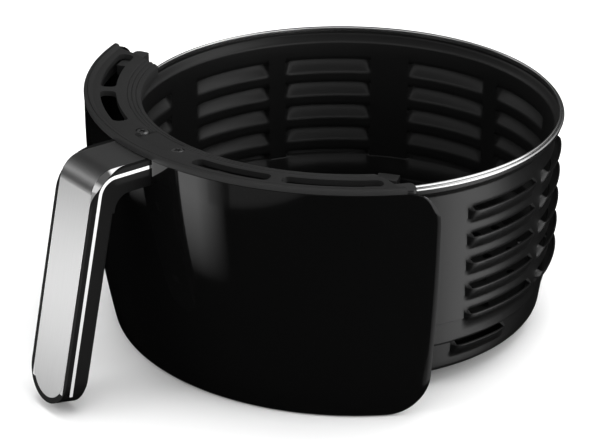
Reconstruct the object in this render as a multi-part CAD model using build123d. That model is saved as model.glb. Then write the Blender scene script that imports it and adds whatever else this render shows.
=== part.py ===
from build123d import *
from math import cos, degrees, pi, radians, sin, tan
import os

# The pull-out basket drawer of a small round air fryer, in millimetres.
# Origin: pan axis on the surface the drawer stands on. +Z up, the handle points along -Y.
# Azimuths are degrees from the handle direction, positive towards +X.

# ---- pan ----
rim_r = 105.0            # outside radius over the bright rim
rim_w = 2.4              # width of the rim ring
rim_t = 2.6              # height of the rim ring
rim_over = 3.8           # the rim stands this far outside the wall
sheet_t = 1.0            # pan sheet
stand_h = 7.5            # the pressed well holds the pan floor this far off the table
stand_in = 19.3          # width of the pan floor outside the well
well_slope = 5.0         # how far the well's side leans out
pan_h = 100.3            # pan floor to rim top
flare_h = 6.0            # height of the flare below the rim ring
flare_neck = 1.4         # the flare ends this far below the rim ring
crease_hi = 27.0         # upper crease above the pan floor
crease_lo = 16.2         # lower crease above the pan floor
crease_hi_w = 0.7        # half the height of each crease
crease_lo_w = 0.6
crease_lo_in = 0.3       # the lower crease pulls in by this much more
step_hi = 0.5            # wall steps in at the upper crease
step_lo = 1.3            # wall has moved in this far at the lower crease
floor_in = 3.9           # wall has moved in this far where it meets the floor
floor_fillet = 4.0

# ---- louvres pressed through the wall ----
louvre_out = 3.3         # how far a lip stands off the wall
louvre_rise = 6.0        # height of a hood
louvre_slit = 1.0        # the slit reaches this far above the lip
lip_share = 0.4          # share of the hood's height above the row's middle line
hood_belly = 0.27        # the hood's curve is this share of louvre_out short of the lip, half-way up
belly_z = 0.6            # that point lies this far below the row's middle line
louvre_top_drop = 20.5   # middle of the top row below the rim's top
louvre_pitch = 13.0
louvre_clear = 0.5       # middle of the lowest row stays this far above the upper crease
louvre_span = 26.6       # degrees
pair_gap = 4.9           # degrees between the two columns of a pair
pair_pitch = 69.4        # degrees between neighbouring pairs
back_pair_az = 182.0     # middle of the pair nearest the back
pair_count = 5
low_span = 19.2          # degrees, the single short louvre under each pair
low_shift = 22.6         # degrees from the pair's middle
low_z = 12.0             # middle of the short louvre above the pan floor

# ---- crisper plate ----
plate_gap = 3.7          # plate's edge inside the wall's foot
plate_t = 1.0
plate_h = 16.0           # plate top above the pan's inner floor
plate_slope = 3.6        # how far the skirt leans in
plate_hem = 1.5          # upright hem at the skirt's foot
plate_lift = 0.3         # running gap under the skirt
hole_d = 5.0
ring_pitch = 12.5
first_ring_r = 22.0
finger_hole_d = 20.0
bumper_gap = 0.2         # silicone bumpers inside the wall's foot
bumper_in = 5.0          # how far a bumper reaches in over the plate
bumper_grip = 1.5        # the same under it
bumper_w = 12.0
bumper_h = 9.0
bumper_over = 2.0        # bumper stands above the plate by this much
bumper_az = 35.6         # degrees, and the same from the back

# ---- front cover ----
cover_back = 4.4         # cover and flange are drawn about an axis this far behind the pan's
cover_out = 23.5         # greatest radius of the barrel over the rim's
cover_crown_drop = 8.3   # height of that greatest radius below the rim's top
cover_bulge = 480.0      # radius of the barrel's upright curve
cover_t = 2.5
cover_half = 67.7        # degrees about the cover's own axis
cover_over = 6.8         # cover's top edge above the rim's top
cover_gap = 0.8          # bottom edge above the table
cover_top_corner = 15.0
cover_low_corner = 20.0
boss_root = 1.2          # bosses are drilled to this far below the cover's outside

# ---- top flange ----
flange_rise = 9.7        # top of the outer bead above the rim's top
flange_t = 2.6
flange_cover = 7.4       # the flange reaches in over the rim by this much
flange_half = 60.9       # degrees about the cover's axis, outer corner
flange_inner_half = 55.2 # degrees, inner corner
collar_in = 3.0          # the collar's height is given this far inside the rim's radius
collar_rise = 5.2        # top of the collar there, above the rim's top
plateau_in = 17.0        # plateau's edges inside the cover's greatest radius
plateau_out = 4.0
plateau_in_drop = 2.5    # and below the bead's top
plateau_out_drop = 1.6
bead_edge = 1.0          # slope and rounding of the bead
bead_round = 0.8
vent_margin = 1.7        # vents start this far outside the plateau's inner edge
vent_w = 7.6
vent_start = 14.2        # degrees
vent_end = 57.0
vent_web = 2.6
vent_web_at = 34.2
vent_corner = 3.0
skirt_t = 2.0
skirt_h = 9.0
skirt_fit = 0.2

# ---- handle ----
arm_reach = 22.0         # arm and grip outlines cross this far ahead of the cover's greatest radius
grip_lean = 12.4         # degrees from upright
grip_gap = 1.6           # grip's end above the table
handle_w = 30.0
handle_t = 12.0
face_w = 24.6
face_t = 1.2
tape_t = 0.4
tape_in = 1.0            # the tape stays this far inside the face plate's edge
trim_t = 4.0
trim_short = 8.0         # trim stops this far before the grip's end
trim_wall = 0.3          # edge left beside the trim's bevel
trim_bridge = 4.0        # length of the bar across the trim at the arm's root
outer_corner = 12.0
inner_corner = 8.0
arm_gap = 1.0            # arm starts this far outside the plateau
tang_w = 16.0
tang_t = 3.0
tang_depth = 6.2         # tang's outer face below the handle's outer face
tang_past = 4.6          # tang reaches this far behind its screw
tang_short = 14.0        # tang stops this far before the grip's end
tang_fit = 0.1

# ---- brackets and fasteners ----
fit = 0.1                # gap between parts that are pushed together
room = 0.3               # gap round parts that are let into one another
rim_clear = 0.4          # plastic and brackets stay this far off the rim
bracket_t = 2.0
bracket_half = 9.0       # degrees
bracket_drop = 13.8      # bracket's plate starts this far below the rim's top
bracket_h = 42.0
web_w = 18.0             # narrow neck of the bracket between the nuts
shelf_w = 42.0           # shelf, and the wide foot of the handle on it
shelf_out = 13.5         # shelf ends this far outside the rim
shelf_corner = 4.0
foot_t = 4.0
tenon_drop = 3.1         # top of the arm's stub below the arm's
screw_x = 13.9           # flange screws
screw_out = 2.6          # flange screws stand this far outside the rim
screw_d = 3.0
screw_head_d = 6.0
screw_head_t = 1.8
screw_clear = 0.05
head_clear = 0.2         # round a sunk screw head
short_screw = 6.0        # length of the screws in the cover's bosses
cross_w = 1.0
cross_len = 3.4
cross_deep = 1.0
nut_w = 5.5
nut_t = 2.4
handle_screw_out = 9.6   # handle screw outside the rim
handle_screw_d = 4.0
handle_screw_head = 7.5
handle_head_t = 2.0
rivet_d = 4.0
rivet_head_d = 6.8
rivet_tail_d = 6.0
rivet_head_t = 1.2
rivet_az = 6.0           # degrees
rivet_in = 8.0           # rivets inside the ends of the bracket's plate
strap_w = 6.4            # a strap stands on the plain wall between two louvre columns
strap_t = 1.5
strap_over = 1.5         # lower end of a strap above the upper crease
strap_h = 12.0
strap_in = 15.1          # far face of the strap inside the cover's greatest radius
strap_bend = 1.5
boss_d = 7.0
shield_out = 2.6         # shield's inside outside the rim's radius
shield_t = 0.8
shield_half = 60.0       # degrees
shield_low = 12.0
shield_drop = 15.8       # shield's top below the rim's top
shield_window = 12.0     # window in the shield round a strap
shield_boss_az = 24.0
shield_boss_low = 20.0   # shield screws above the shield's foot
shield_boss_high = 12.0  # and below its top
hook_w = 12.0
hook_h = 2.0
hook_out = 1.4
hook_root = 0.5          # hooks are sunk into the cover by this much
hook_az = (24.0, 50.0)
lug_w = 8.0
lug_h = 5.0
lug_out = 4.6            # lug's inside outside the rim's radius
lug_az = (55.0, 66.0)
grip_screw_first = 34.0  # first grip screw below the arm's corner
grip_screw_last = 27.4   # last one before the grip's end
grip_screw_tip = 4.6     # their tips below the handle's face
grip_screw_sink = 1.0    # their seats below the back cover's outside
grip_head_t = 0.9
back_t = 2.4             # cover on the back of the grip
back_gap = 1.92          # back cover starts this far below the inside bend
back_bevel = 1.2

# ---- worked out from the sizes above ----
floor_z = stand_h
rim_top = floor_z + pan_h
rim_base = rim_top - rim_t
inner_floor = floor_z + sheet_t
wall_r = rim_r - rim_over
wall_in_r = wall_r - sheet_t
floor_r = wall_r - floor_in
stand_r = floor_r - stand_in
rim_free_r = rim_r + rim_clear
louvre_top_z = pan_h - louvre_top_drop
louvre_rows = int((louvre_top_z - crease_hi - louvre_clear) / louvre_pitch) + 1
strap_az = (
    back_pair_az + pair_pitch * (pair_count - 1) / 2 - 360,
    back_pair_az - pair_pitch * (pair_count - 1) / 2,
)
strap_z = floor_z + crease_hi + strap_over
plate_r = floor_r - plate_gap
plate_foot_r = plate_r - plate_slope
plate_top = inner_floor + plate_h
hole_rings = int((plate_foot_r - hole_d / 2 - first_ring_r) / ring_pitch) + 1
bumper_r = floor_r - bumper_gap
cover_r = rim_r + cover_out
cover_crown_z = rim_top - cover_crown_drop
cover_top = rim_top + cover_over
flange_top = rim_top + flange_rise
flange_inner_r = rim_r - flange_cover
collar_r = rim_r - collar_in
collar_z = rim_top + collar_rise
plateau_in_r = cover_r - plateau_in
plateau_in_z = flange_top - plateau_in_drop
plateau_out_r = cover_r - plateau_out
plateau_out_z = flange_top - plateau_out_drop
vent_in_r = plateau_in_r + vent_margin
handle_top = cover_top
handle_low = handle_top - handle_t
arm_corner_y = cover_r + arm_reach
arm_start = plateau_out_r - cover_back + arm_gap
grip_len = (handle_top - grip_gap - handle_t * sin(radians(grip_lean))) / cos(radians(grip_lean))
back_start = (inner_corner + handle_t) * tan(radians(45 - grip_lean / 2)) + back_gap
grip_screw_z = (grip_screw_first, grip_len - grip_screw_last)
shelf_z = handle_low - bracket_t
shelf_reach = rim_r + shelf_out
bracket_high = rim_top - bracket_drop
bracket_low = bracket_high - bracket_h
rivet_z = (bracket_low + rivet_in, bracket_high - rivet_in)
screw_y = rim_r + screw_out
screw_bore = screw_d + 2 * screw_clear
sink_d = screw_head_d + 2 * head_clear
handle_screw_y = rim_r + handle_screw_out
handle_screw_bore = handle_screw_d + 2 * screw_clear
rivet_bore = rivet_d + 2 * screw_clear
tang_start = handle_screw_y - tang_past
tenon_t = handle_t - tenon_drop
strap_out = cover_r - strap_in
strap_screw_z = strap_z + strap_h / 3
shield_r = rim_r + shield_out
shield_high = rim_top - shield_drop
shield_boss_z = (shield_low + shield_boss_low, shield_high - shield_boss_high)
lug_r = rim_r + lug_out
handle_plane = Plane((0, 0, 0), x_dir=(0, -1, 0), z_dir=(-1, 0, 0))
grip_place = Pos(0, -arm_corner_y, handle_top) * Rot(-grip_lean, 0, 0)


def cover_radius(z):
    """Outside radius of the barrel cover about its own axis."""
    return cover_r - (cover_crown_z - z) ** 2 / (2 * cover_bulge)


def at(az, r, z=0.0):
    """Place that stands at azimuth az on radius r, its +X pointing outwards."""
    return Pos(r * sin(radians(az)), -r * cos(radians(az)), z) * Rot(0, 0, az - 90)


def cover_at(az, r, z=0.0):
    """The same about the cover's axis."""
    return Pos(0, cover_back, 0) * at(az, r, z)


def cover_point(r, az):
    """The same as a point in plan."""
    return (r * sin(radians(az)), cover_back - r * cos(radians(az)))


def sector(az0, az1, reach, z0, z1):
    """Wedge between two azimuths, used as a cutting or keeping tool."""
    mid = (az0 + az1) / 2
    half = (az1 - az0) / 2
    side = reach / cos(radians(half))
    tips = [(0, 0)]
    for az in (az0, mid, az1):
        k = side if az != mid else reach * 1.2
        tips.append((k * sin(radians(az)), -k * cos(radians(az))))
    wedge = extrude(make_face(Polyline(*tips, close=True)), amount=z1 - z0)
    return Pos(0, 0, z0) * wedge


def ring(r_in, r_out, z0, z1, back=0.0):
    """Plain ring about the pan's axis, or about one behind it."""
    body = Cylinder(r_out, z1 - z0, align=(Align.CENTER, Align.CENTER, Align.MIN))
    bore = Cylinder(r_in, z1 - z0, align=(Align.CENTER, Align.CENTER, Align.MIN))
    return Pos(0, back, z0) * (body - bore)


def spin(face, back=0.0):
    """Turn a face drawn on XZ about an upright axis."""
    return Pos(0, back, 0) * revolve(face, Axis.Z)


def section(*points):
    """Closed face on XZ from (radius, height) points."""
    return make_face(Plane.XZ * Polyline(*points, close=True))


def shifted(points, amount):
    """The same open outline moved sideways to its left, corners mitred."""
    headings = []
    for a, b in zip(points, points[1:]):
        headings.append((Vector(*b) - Vector(*a)).normalized())
    moved = []
    for n, p in enumerate(points):
        before = headings[max(n - 1, 0)]
        after = headings[min(n, len(headings) - 1)]
        left = Vector(-before.Y - after.Y, before.X + after.X)
        moved.append(Vector(*p) + left * (2 * amount / left.length**2))
    return moved


def turns(points):
    """+1 at a corner that turns left, -1 at one that turns right."""
    signs = []
    for a, b, c in zip(points, points[1:], points[2:]):
        cross = (b[0] - a[0]) * (c[1] - b[1]) - (b[1] - a[1]) * (c[0] - b[0])
        signs.append(1 if cross > 0 else -1)
    return signs


def sheet_outline(points, radii, t):
    """Face of a bent sheet t thick whose middle line runs through the points."""
    left = shifted(points, t / 2)
    right = shifted(points, -t / 2)
    signs = turns(points)
    left_r = [r - s * t / 2 for r, s in zip(radii, signs)]
    right_r = [r + s * t / 2 for r, s in zip(radii, signs)]
    lines = FilletPolyline(*left, radius=left_r) + FilletPolyline(*right, radius=right_r)
    lines += Line(left[0], right[0]) + Line(left[-1], right[-1])
    return make_face(lines)


def sheet_section(points, radii, t):
    """The same on XZ, ready to be turned about an upright axis."""
    return Plane.XZ * sheet_outline(points, radii, t)


def upright(d, z0, z1):
    return Pos(0, 0, z0) * Cylinder(d / 2, z1 - z0, align=(Align.CENTER, Align.CENTER, Align.MIN))


def radial_pin(d, r0, r1):
    """Round pin along the local X of a place made by at()."""
    pin = Cylinder(d / 2, r1 - r0, align=(Align.CENTER, Align.CENTER, Align.MIN))
    return Pos(r0, 0, 0) * Rot(0, 90, 0) * pin


# ---------------------------------------------------------------- pan

def wall_outside(z):
    """Outside radius of the lower wall and the band between the creases."""
    hi = floor_z + crease_hi
    lo = floor_z + crease_lo
    if z >= hi:
        return wall_r
    if z >= lo:
        return wall_r - step_hi - (step_lo - step_hi) * (hi - z) / (hi - lo)
    return wall_r - step_lo - (wall_r - step_lo - floor_r) * (lo - z) / (lo - floor_z)


def pan_shell():
    """Drawn steel pan: well, floor, tapered lower wall, two creases, wall and flare."""
    half = sheet_t / 2
    lo = floor_z + crease_lo
    hi = floor_z + crease_hi
    flare_z = rim_base - flare_h
    outline = [
        (0, half),
        (stand_r, half),
        (stand_r + well_slope, floor_z + half),
        (floor_r - half, floor_z + half),
        (wall_outside(lo) - crease_lo_in - half, lo - crease_lo_w),
        (wall_outside(lo) - half, lo + crease_lo_w),
        (wall_outside(hi - crease_hi_w) - half, hi - crease_hi_w),
        (wall_r - half, hi + crease_hi_w),
        (wall_r - half, flare_z),
        (rim_r - rim_w / 2, rim_base - flare_neck),
        (rim_r - rim_w / 2, rim_base),
    ]
    radii = [2, 3, floor_fillet - half, 0.8, 0.8, 0.8, 0.8, 4, 1.0]
    return spin(sheet_section(outline, radii, sheet_t))


def turned(face, span):
    """Part turn of an XZ face, centred on azimuth 0."""
    return Rot(0, 0, -90 - span / 2) * revolve(face, Axis.Z, revolution_arc=span)


def louvre_hood(span, r):
    """Filled scoop that stands out of the wall, centred on azimuth 0 and height 0."""
    top = louvre_rise * lip_share
    low = top - louvre_rise - sheet_t
    lip = r + louvre_out
    root = r - sheet_t / 2
    swell = ThreePointArc((root, low), (lip - louvre_out * hood_belly, -belly_z), (lip, top))
    edge = Polyline((lip, top), (root, top), (root, low))
    return turned(make_face(Plane.XZ * (swell + edge)), span)


def louvre_pocket(span, r):
    """Space inside the scoop: a window through the wall, open upwards past the lip."""
    top = louvre_rise * lip_share
    low = top - louvre_rise
    lip = r + louvre_out - sheet_t
    back = r - sheet_t * 1.5
    slit = top + louvre_slit
    swell = ThreePointArc((r - sheet_t, low), (lip - louvre_out * hood_belly, -belly_z), (lip, top))
    edge = Polyline((lip, top), (lip, slit), (back, slit), (back, low), (r - sheet_t, low))
    return turned(make_face(Plane.XZ * (swell + edge)), span - 2 * degrees(sheet_t / r))


def louvre_places():
    """Azimuths of the long columns and of the short louvres."""
    columns = []
    shorts = []
    offset = (louvre_span + pair_gap) / 2
    for n in range(pair_count):
        mid = back_pair_az + pair_pitch * (n - (pair_count - 1) / 2)
        columns += [mid - offset, mid + offset]
        shorts.append(mid - low_shift)
    return columns, shorts


def make_basket_pan():
    columns, shorts = louvre_places()
    long_out = louvre_hood(louvre_span, wall_r)
    long_in = louvre_pocket(louvre_span, wall_r)
    low_r = wall_outside(floor_z + low_z + louvre_rise / 2)
    short_out = louvre_hood(low_span, low_r)
    short_in = louvre_pocket(low_span, low_r)
    outs = []
    ins = []
    for az in columns:
        for row in range(louvre_rows):
            place = Pos(0, 0, floor_z + louvre_top_z - row * louvre_pitch) * Rot(0, 0, az)
            outs.append(place * long_out)
            ins.append(place * long_in)
    for az in shorts:
        place = Pos(0, 0, floor_z + low_z) * Rot(0, 0, az)
        outs.append(place * short_out)
        ins.append(place * short_in)
    pan = pan_shell() + outs
    return pan - ins


def make_rim_ring():
    """Bright ring that stands on the sheet's edge, rounded on top."""
    r0 = rim_r - rim_w
    face = section((r0, rim_base), (rim_r, rim_base), (rim_r, rim_top), (r0, rim_top))
    body = spin(face)
    edges = body.edges().filter_by(GeomType.CIRCLE).group_by(Axis.Z)[-1]
    return fillet(edges, rim_w * 0.42)


# ---------------------------------------------------------------- crisper plate

def plate_shell():
    """Pressed plate with a drawn skirt that stands on the pan floor."""
    half = plate_t / 2
    foot = inner_floor + plate_lift
    outline = [
        (0, plate_top - half),
        (plate_r - half, plate_top - half),
        (plate_foot_r - half, foot + plate_hem),
        (plate_foot_r - half, foot),
    ]
    return spin(sheet_section(outline, [3, 1], plate_t))


def plate_holes():
    """Air holes in rings, a finger hole in the middle."""
    holes = [Pos(0, 0, plate_top - 2 * plate_t) * upright(finger_hole_d, 0, 3 * plate_t)]
    drill = upright(hole_d, plate_top - 2 * plate_t, plate_top + plate_t)
    for n in range(hole_rings):
        r = first_ring_r + n * ring_pitch
        count = 6 * (n + 2)
        for k in range(count):
            holes.append(at(360 * k / count, r) * drill)
    return holes


def make_crisper_plate():
    return plate_shell() - plate_holes()


def bumper_places():
    return [-bumper_az, bumper_az, 180 - bumper_az, 180 + bumper_az]


def make_crisper_bumpers():
    """Four silicone caps pushed over the plate's shoulder, one solid each."""
    z0 = plate_top + bumper_over - bumper_h
    r0 = plate_r - bumper_in
    shell = plate_shell()
    outer = ring(r0, bumper_r, z0, z0 + bumper_h)
    under = ring(r0 - 1, plate_r - bumper_grip, z0 - 1, plate_top - plate_t)
    caps = []
    for az in bumper_places():
        slab = at(az, (r0 + bumper_r) / 2, z0) * Box(
            2 * bumper_w, bumper_w, bumper_h, align=(Align.CENTER, Align.CENTER, Align.MIN)
        )
        cap = (outer & slab) - under - shell
        caps.append(cap.solids().sort_by(SortBy.VOLUME)[-1])
    return caps


# ---------------------------------------------------------------- front cover and shield

def barrel(inset, z0, z1):
    """Filled barrel whose side is the cover's outside moved in by inset."""
    mid = (z0 + z1) / 2
    side = ThreePointArc(
        (cover_radius(z0) - inset, z0), (cover_radius(mid) - inset, mid), (cover_radius(z1) - inset, z1)
    )
    rest = Polyline((cover_radius(z1) - inset, z1), (0, z1), (0, z0), (cover_radius(z0) - inset, z0))
    return spin(make_face(Plane.XZ * (side + rest)), cover_back)


def shield_bosses(d):
    """Pins from the shield out to the cover, one at each shield screw."""
    pins = []
    for az in (-shield_boss_az, shield_boss_az):
        for z in shield_boss_z:
            pins.append(at(az, 0, z) * radial_pin(d, shield_r + shield_t, cover_r + cover_back))
    return pins


def strap_bosses(d):
    """Pins from the straps out to the cover."""
    pin = radial_pin(d, strap_out, cover_r + cover_back)
    return [at(az, 0, strap_screw_z) * pin for az in strap_az]


def cover_hooks():
    """Snap hooks on the cover's inside that catch under the flange's skirt."""
    top = cover_top - skirt_h - fit
    r1 = cover_radius(top) - cover_t + hook_root
    hooks = []
    for side in (-1, 1):
        for az in hook_az:
            block = Box(hook_out + 1, hook_w, hook_h, align=(Align.MAX, Align.CENTER, Align.MAX))
            hooks.append(cover_at(side * az, r1, top) * block)
    return hooks


def corner_tool(side, z, up, r):
    """What is taken off a corner of the cover to round it, at its side edge and height z."""
    size = 2 * r
    block = Pos(0, side * (size / 2 - r), up * (r - size / 2)) * Box(4 * size, size, size)
    round_part = Pos(0, -side * r, up * r) * Rot(0, 90, 0) * Cylinder(r, 5 * size)
    return cover_at(side * cover_half, cover_r, z) * (block - round_part)


def make_front_cover():
    """Gloss shell: barrel sector with rounded corners, bosses, hooks and the handle's notch."""
    outer = barrel(0, cover_gap, cover_top)
    inner = barrel(cover_t, cover_gap, cover_top)
    shell = (outer - inner) & Pos(0, cover_back, 0) * sector(
        -cover_half, cover_half, 2 * cover_r, cover_gap, cover_top
    )
    for side in (-1, 1):
        shell = shell - corner_tool(side, cover_gap, 1, cover_low_corner)
        shell = shell - corner_tool(side, cover_top, -1, cover_top_corner)
    notch = Pos(0, -cover_r, handle_low - room) * Box(
        handle_w + 2 * room, handle_w, 2 * handle_t, align=(Align.CENTER, Align.CENTER, Align.MIN)
    )
    bosses = [(b & outer) for b in shield_bosses(boss_d) + strap_bosses(boss_d)]
    cover = shell + bosses + cover_hooks() - notch
    skin = barrel(boss_root, cover_gap, cover_top)
    drills = [d & skin for d in shield_bosses(screw_bore) + strap_bosses(screw_bore)]
    return cover - drills


def make_heat_shield():
    """Thin curved sheet between the hot pan and the cover."""
    sheet = ring(shield_r, shield_r + shield_t, shield_low, shield_high)
    sheet = sheet & sector(-shield_half, shield_half, 2 * cover_r, shield_low, shield_high)
    windows = []
    for az in strap_az:
        margin = (shield_window - strap_w) / 2
        block = Box(
            shield_window, shield_window, strap_h + 2 * margin, align=(Align.CENTER, Align.CENTER, Align.MIN)
        )
        windows.append(at(az, shield_r, strap_z - margin) * block)
    drill = radial_pin(screw_bore, shield_r - shield_t, shield_r + 2 * shield_t)
    holes = [at(az, 0, z) * drill for az in (-shield_boss_az, shield_boss_az) for z in shield_boss_z]
    return sheet - windows - holes


def cross_screw(d, length, head_d, head_t):
    """Pan-head screw along -Z from the underside of its head, with a cross recess."""
    shank = upright(d, -length, 0)
    head = upright(head_d, 0, head_t)
    head = chamfer(head.edges().group_by(Axis.Z)[-1], head_t * 0.35)
    bar = Box(cross_len, cross_w, cross_deep, align=(Align.CENTER, Align.CENTER, Align.MAX))
    cross = Pos(0, 0, head_t) * (bar + Rot(0, 0, 90) * bar)
    return shank + head - cross


def inward_screw(az, r, z, length):
    """Screw driven outwards from inside the ring, its head's seat on radius r."""
    turn = at(az, r, z) * Rot(0, -90, 0)
    return turn * cross_screw(screw_d, length, screw_head_d, screw_head_t)


def make_shield_screws():
    screws = []
    for az in (-shield_boss_az, shield_boss_az):
        for z in shield_boss_z:
            screws.append(inward_screw(az, shield_r - fit, z, short_screw))
    return screws


def make_strap_screws():
    seat = strap_out - strap_t
    return [inward_screw(az, seat, strap_screw_z, short_screw) for az in strap_az]


def make_strap(az):
    """Bent steel strap from the pan wall to the cover."""
    inner = wall_r + fit + strap_t / 2
    outer = strap_out - strap_t / 2
    top = strap_z + strap_h
    path = [(inner, strap_z), (inner, top - strap_t / 2), (outer, top - strap_t / 2), (outer, strap_z)]
    face = sheet_outline(path, [strap_bend, strap_bend], strap_t)
    strap = extrude(handle_plane * face, amount=strap_w / 2, both=True)
    strap = strap - ring(0.1, wall_r + fit / 2, 0, rim_top)
    place = at(0, 0, strap_screw_z)
    wall_hole = place * radial_pin(rivet_bore, inner - strap_t, inner + strap_t)
    screw_hole = place * radial_pin(screw_bore, outer - strap_t, outer + strap_t)
    return Rot(0, 0, az) * (strap - wall_hole - screw_hole)


def rivet(az, z, grip):
    """Rivet through the pan wall, low head inside and outside."""
    inside = wall_in_r - fit
    outside = wall_r + grip + fit
    low = radial_pin(rivet_head_d, inside - rivet_head_t, inside)
    shank = radial_pin(rivet_d, inside - fit, outside + fit)
    high = radial_pin(rivet_tail_d, outside, outside + rivet_head_t)
    return at(az, 0, z) * (low + shank + high)


def bracket_rivet_places():
    return [(az, z) for az in (-rivet_az, rivet_az) for z in rivet_z]


def make_bracket_rivets():
    return [rivet(az, z, bracket_t + fit) for az, z in bracket_rivet_places()]


def make_strap_rivets():
    return [rivet(az, strap_screw_z, strap_t + fit) for az in strap_az]


def pan_rivet_holes():
    """Holes through the pan wall for every rivet."""
    places = bracket_rivet_places()
    places += [(az, strap_screw_z) for az in strap_az]
    tool = radial_pin(rivet_bore, wall_r - 3 * sheet_t, wall_r + sheet_t)
    return [at(az, 0, z) * tool for az, z in places]


def make_pan_bracket():
    """Folded steel bracket riveted to the pan, its shelf carries handle and flange."""
    r0 = wall_r + fit
    plate = ring(r0, r0 + bracket_t, bracket_low, bracket_high)
    plate = plate & sector(-bracket_half, bracket_half, 2 * rim_r, bracket_low, bracket_high)
    y0 = rim_free_r
    neck = Pos(0, -(y0 + bracket_t), bracket_high - bracket_t) * Box(
        web_w, y0 + bracket_t - floor_r, bracket_t, align=(Align.CENTER, Align.MIN, Align.MIN)
    )
    neck = neck - ring(0.1, r0, bracket_low, rim_top)
    riser = Pos(0, -y0, bracket_high - bracket_t) * Box(
        web_w, bracket_t, handle_low - bracket_high + bracket_t, align=(Align.CENTER, Align.MAX, Align.MIN)
    )
    shelf = Pos(0, -shelf_reach, shelf_z) * Box(
        shelf_w, shelf_reach - y0, bracket_t, align=(Align.CENTER, Align.MIN, Align.MIN)
    )
    shelf = fillet(shelf.edges().filter_by(Axis.Z).sort_by(Axis.Y)[:2], shelf_corner)
    body = plate + neck + riser + shelf
    drill = radial_pin(rivet_bore, r0 - bracket_t, r0 + 2 * bracket_t)
    holes = [at(az, 0, z) * drill for az, z in bracket_rivet_places()]
    for x in (-screw_x, screw_x):
        holes.append(Pos(x, -screw_y, 0) * upright(screw_bore, shelf_z - 1, handle_low + 1))
    holes.append(Pos(0, -handle_screw_y, 0) * upright(handle_screw_bore, shelf_z - 1, handle_low + 1))
    return body - holes


# ---------------------------------------------------------------- flange

def arc_face(r0, r1, az0, az1, corner):
    """Plan of a curved slot with rounded corners, about the cover's axis."""
    p = cover_point
    mid = (az0 + az1) / 2
    lines = ThreePointArc(p(r0, az0), p(r0, mid), p(r0, az1)) + Line(p(r0, az1), p(r1, az1))
    lines += ThreePointArc(p(r1, az1), p(r1, mid), p(r1, az0)) + Line(p(r1, az0), p(r0, az0))
    face = make_face(lines)
    return fillet(face.vertices(), corner)


def flange_plan():
    """Plan area kept of the ring: its ends are cut obliquely."""
    past = 20.0
    slant = (flange_half - flange_inner_half) / (cover_r - flange_inner_r)
    right = [
        cover_point(flange_inner_r / 2, flange_inner_half),
        cover_point(flange_inner_r, flange_inner_half),
        cover_point(cover_r + past, flange_half + slant * past),
    ]
    left = [(-x, y) for x, y in reversed(right)]
    front = [(2 * cover_r, -2 * cover_r), (-2 * cover_r, -2 * cover_r)]
    area = make_face(Polyline(*right, *front, *left, close=True))
    return extrude(area, amount=rim_top * 2)


def flange_ring():
    """Turned section: collar over the rim, plateau, bead and skirt."""
    slope = (plateau_in_z - collar_z) / (plateau_in_r - collar_r)
    r_start = flange_inner_r - 1
    z_start = collar_z - slope * (collar_r - r_start)
    skirt_r = cover_radius(cover_top) - cover_t - skirt_fit
    under = flange_top - flange_t
    return spin(section(
        (r_start, z_start),
        (plateau_in_r, plateau_in_z),
        (plateau_out_r, plateau_out_z),
        (plateau_out_r + bead_edge, flange_top),
        (cover_r - bead_round, flange_top),
        (cover_r, flange_top - bead_round),
        (cover_r, under),
        (skirt_r, under),
        (skirt_r, cover_top - skirt_h),
        (skirt_r - skirt_t, cover_top - skirt_h),
        (skirt_r - skirt_t, plateau_out_z - flange_t),
        (plateau_in_r, plateau_in_z - flange_t),
        (r_start, z_start - flange_t),
    ), cover_back)


def vent_faces():
    """Four vents, two on each side of the handle."""
    faces = []
    spans = [(vent_start, vent_web_at - vent_web / 2), (vent_web_at + vent_web / 2, vent_end)]
    for a0, a1 in spans:
        faces.append(arc_face(vent_in_r, vent_in_r + vent_w, a0, a1, vent_corner))
        faces.append(arc_face(vent_in_r, vent_in_r + vent_w, -a1, -a0, vent_corner))
    return faces


def make_top_flange():
    body = flange_ring() & flange_plan()
    body = body - ring(0.1, flange_inner_r, 0, 2 * rim_top)
    vents = [Pos(0, 0, rim_top) * extrude(f, amount=2 * flange_rise) for f in vent_faces()]
    foot_top = handle_low + foot_t
    posts = []
    sinks = []
    seat = plateau_in_z - screw_head_t
    for x in (-screw_x, screw_x):
        post = Pos(x, -screw_y, 0) * upright(screw_head_d, foot_top, plateau_in_z - 1)
        posts.append(post - ring(0.1, rim_free_r, 0, rim_top + rim_clear))
        sinks.append(Pos(x, -screw_y, 0) * upright(sink_d, seat, flange_top + 1))
        sinks.append(Pos(x, -screw_y, 0) * upright(screw_bore, foot_top - 1, seat + 1))
    front = (Align.CENTER, Align.MAX, Align.MIN)
    wide = handle_w + 2 * room
    arm = Pos(0, fit - arm_start, 0) * Box(wide, wide, handle_top + fit, align=front)
    stub = Pos(0, skirt_t + 4 * arm_gap - arm_start, 0) * Box(
        wide, wide, handle_low + tenon_t + room, align=front
    )
    foot = Pos(0, skirt_t - shelf_reach, 0) * Box(shelf_w + 2 * room, wide, foot_top + fit, align=front)
    return body - vents + posts - sinks - arm - stub - foot


def make_flange_screws():
    seat = plateau_in_z - screw_head_t
    length = seat - shelf_z + nut_t + 1
    screw = cross_screw(screw_d, length, screw_head_d, screw_head_t)
    return [Pos(x, -screw_y, seat) * screw for x in (-screw_x, screw_x)]


def make_flange_nuts():
    hexagon = extrude(RegularPolygon(nut_w / 2, 6, major_radius=False), amount=nut_t)
    nut = hexagon - upright(screw_bore, -1, nut_t + 1)
    return [Pos(x, -screw_y, shelf_z - nut_t) * nut for x in (-screw_x, screw_x)]


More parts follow.
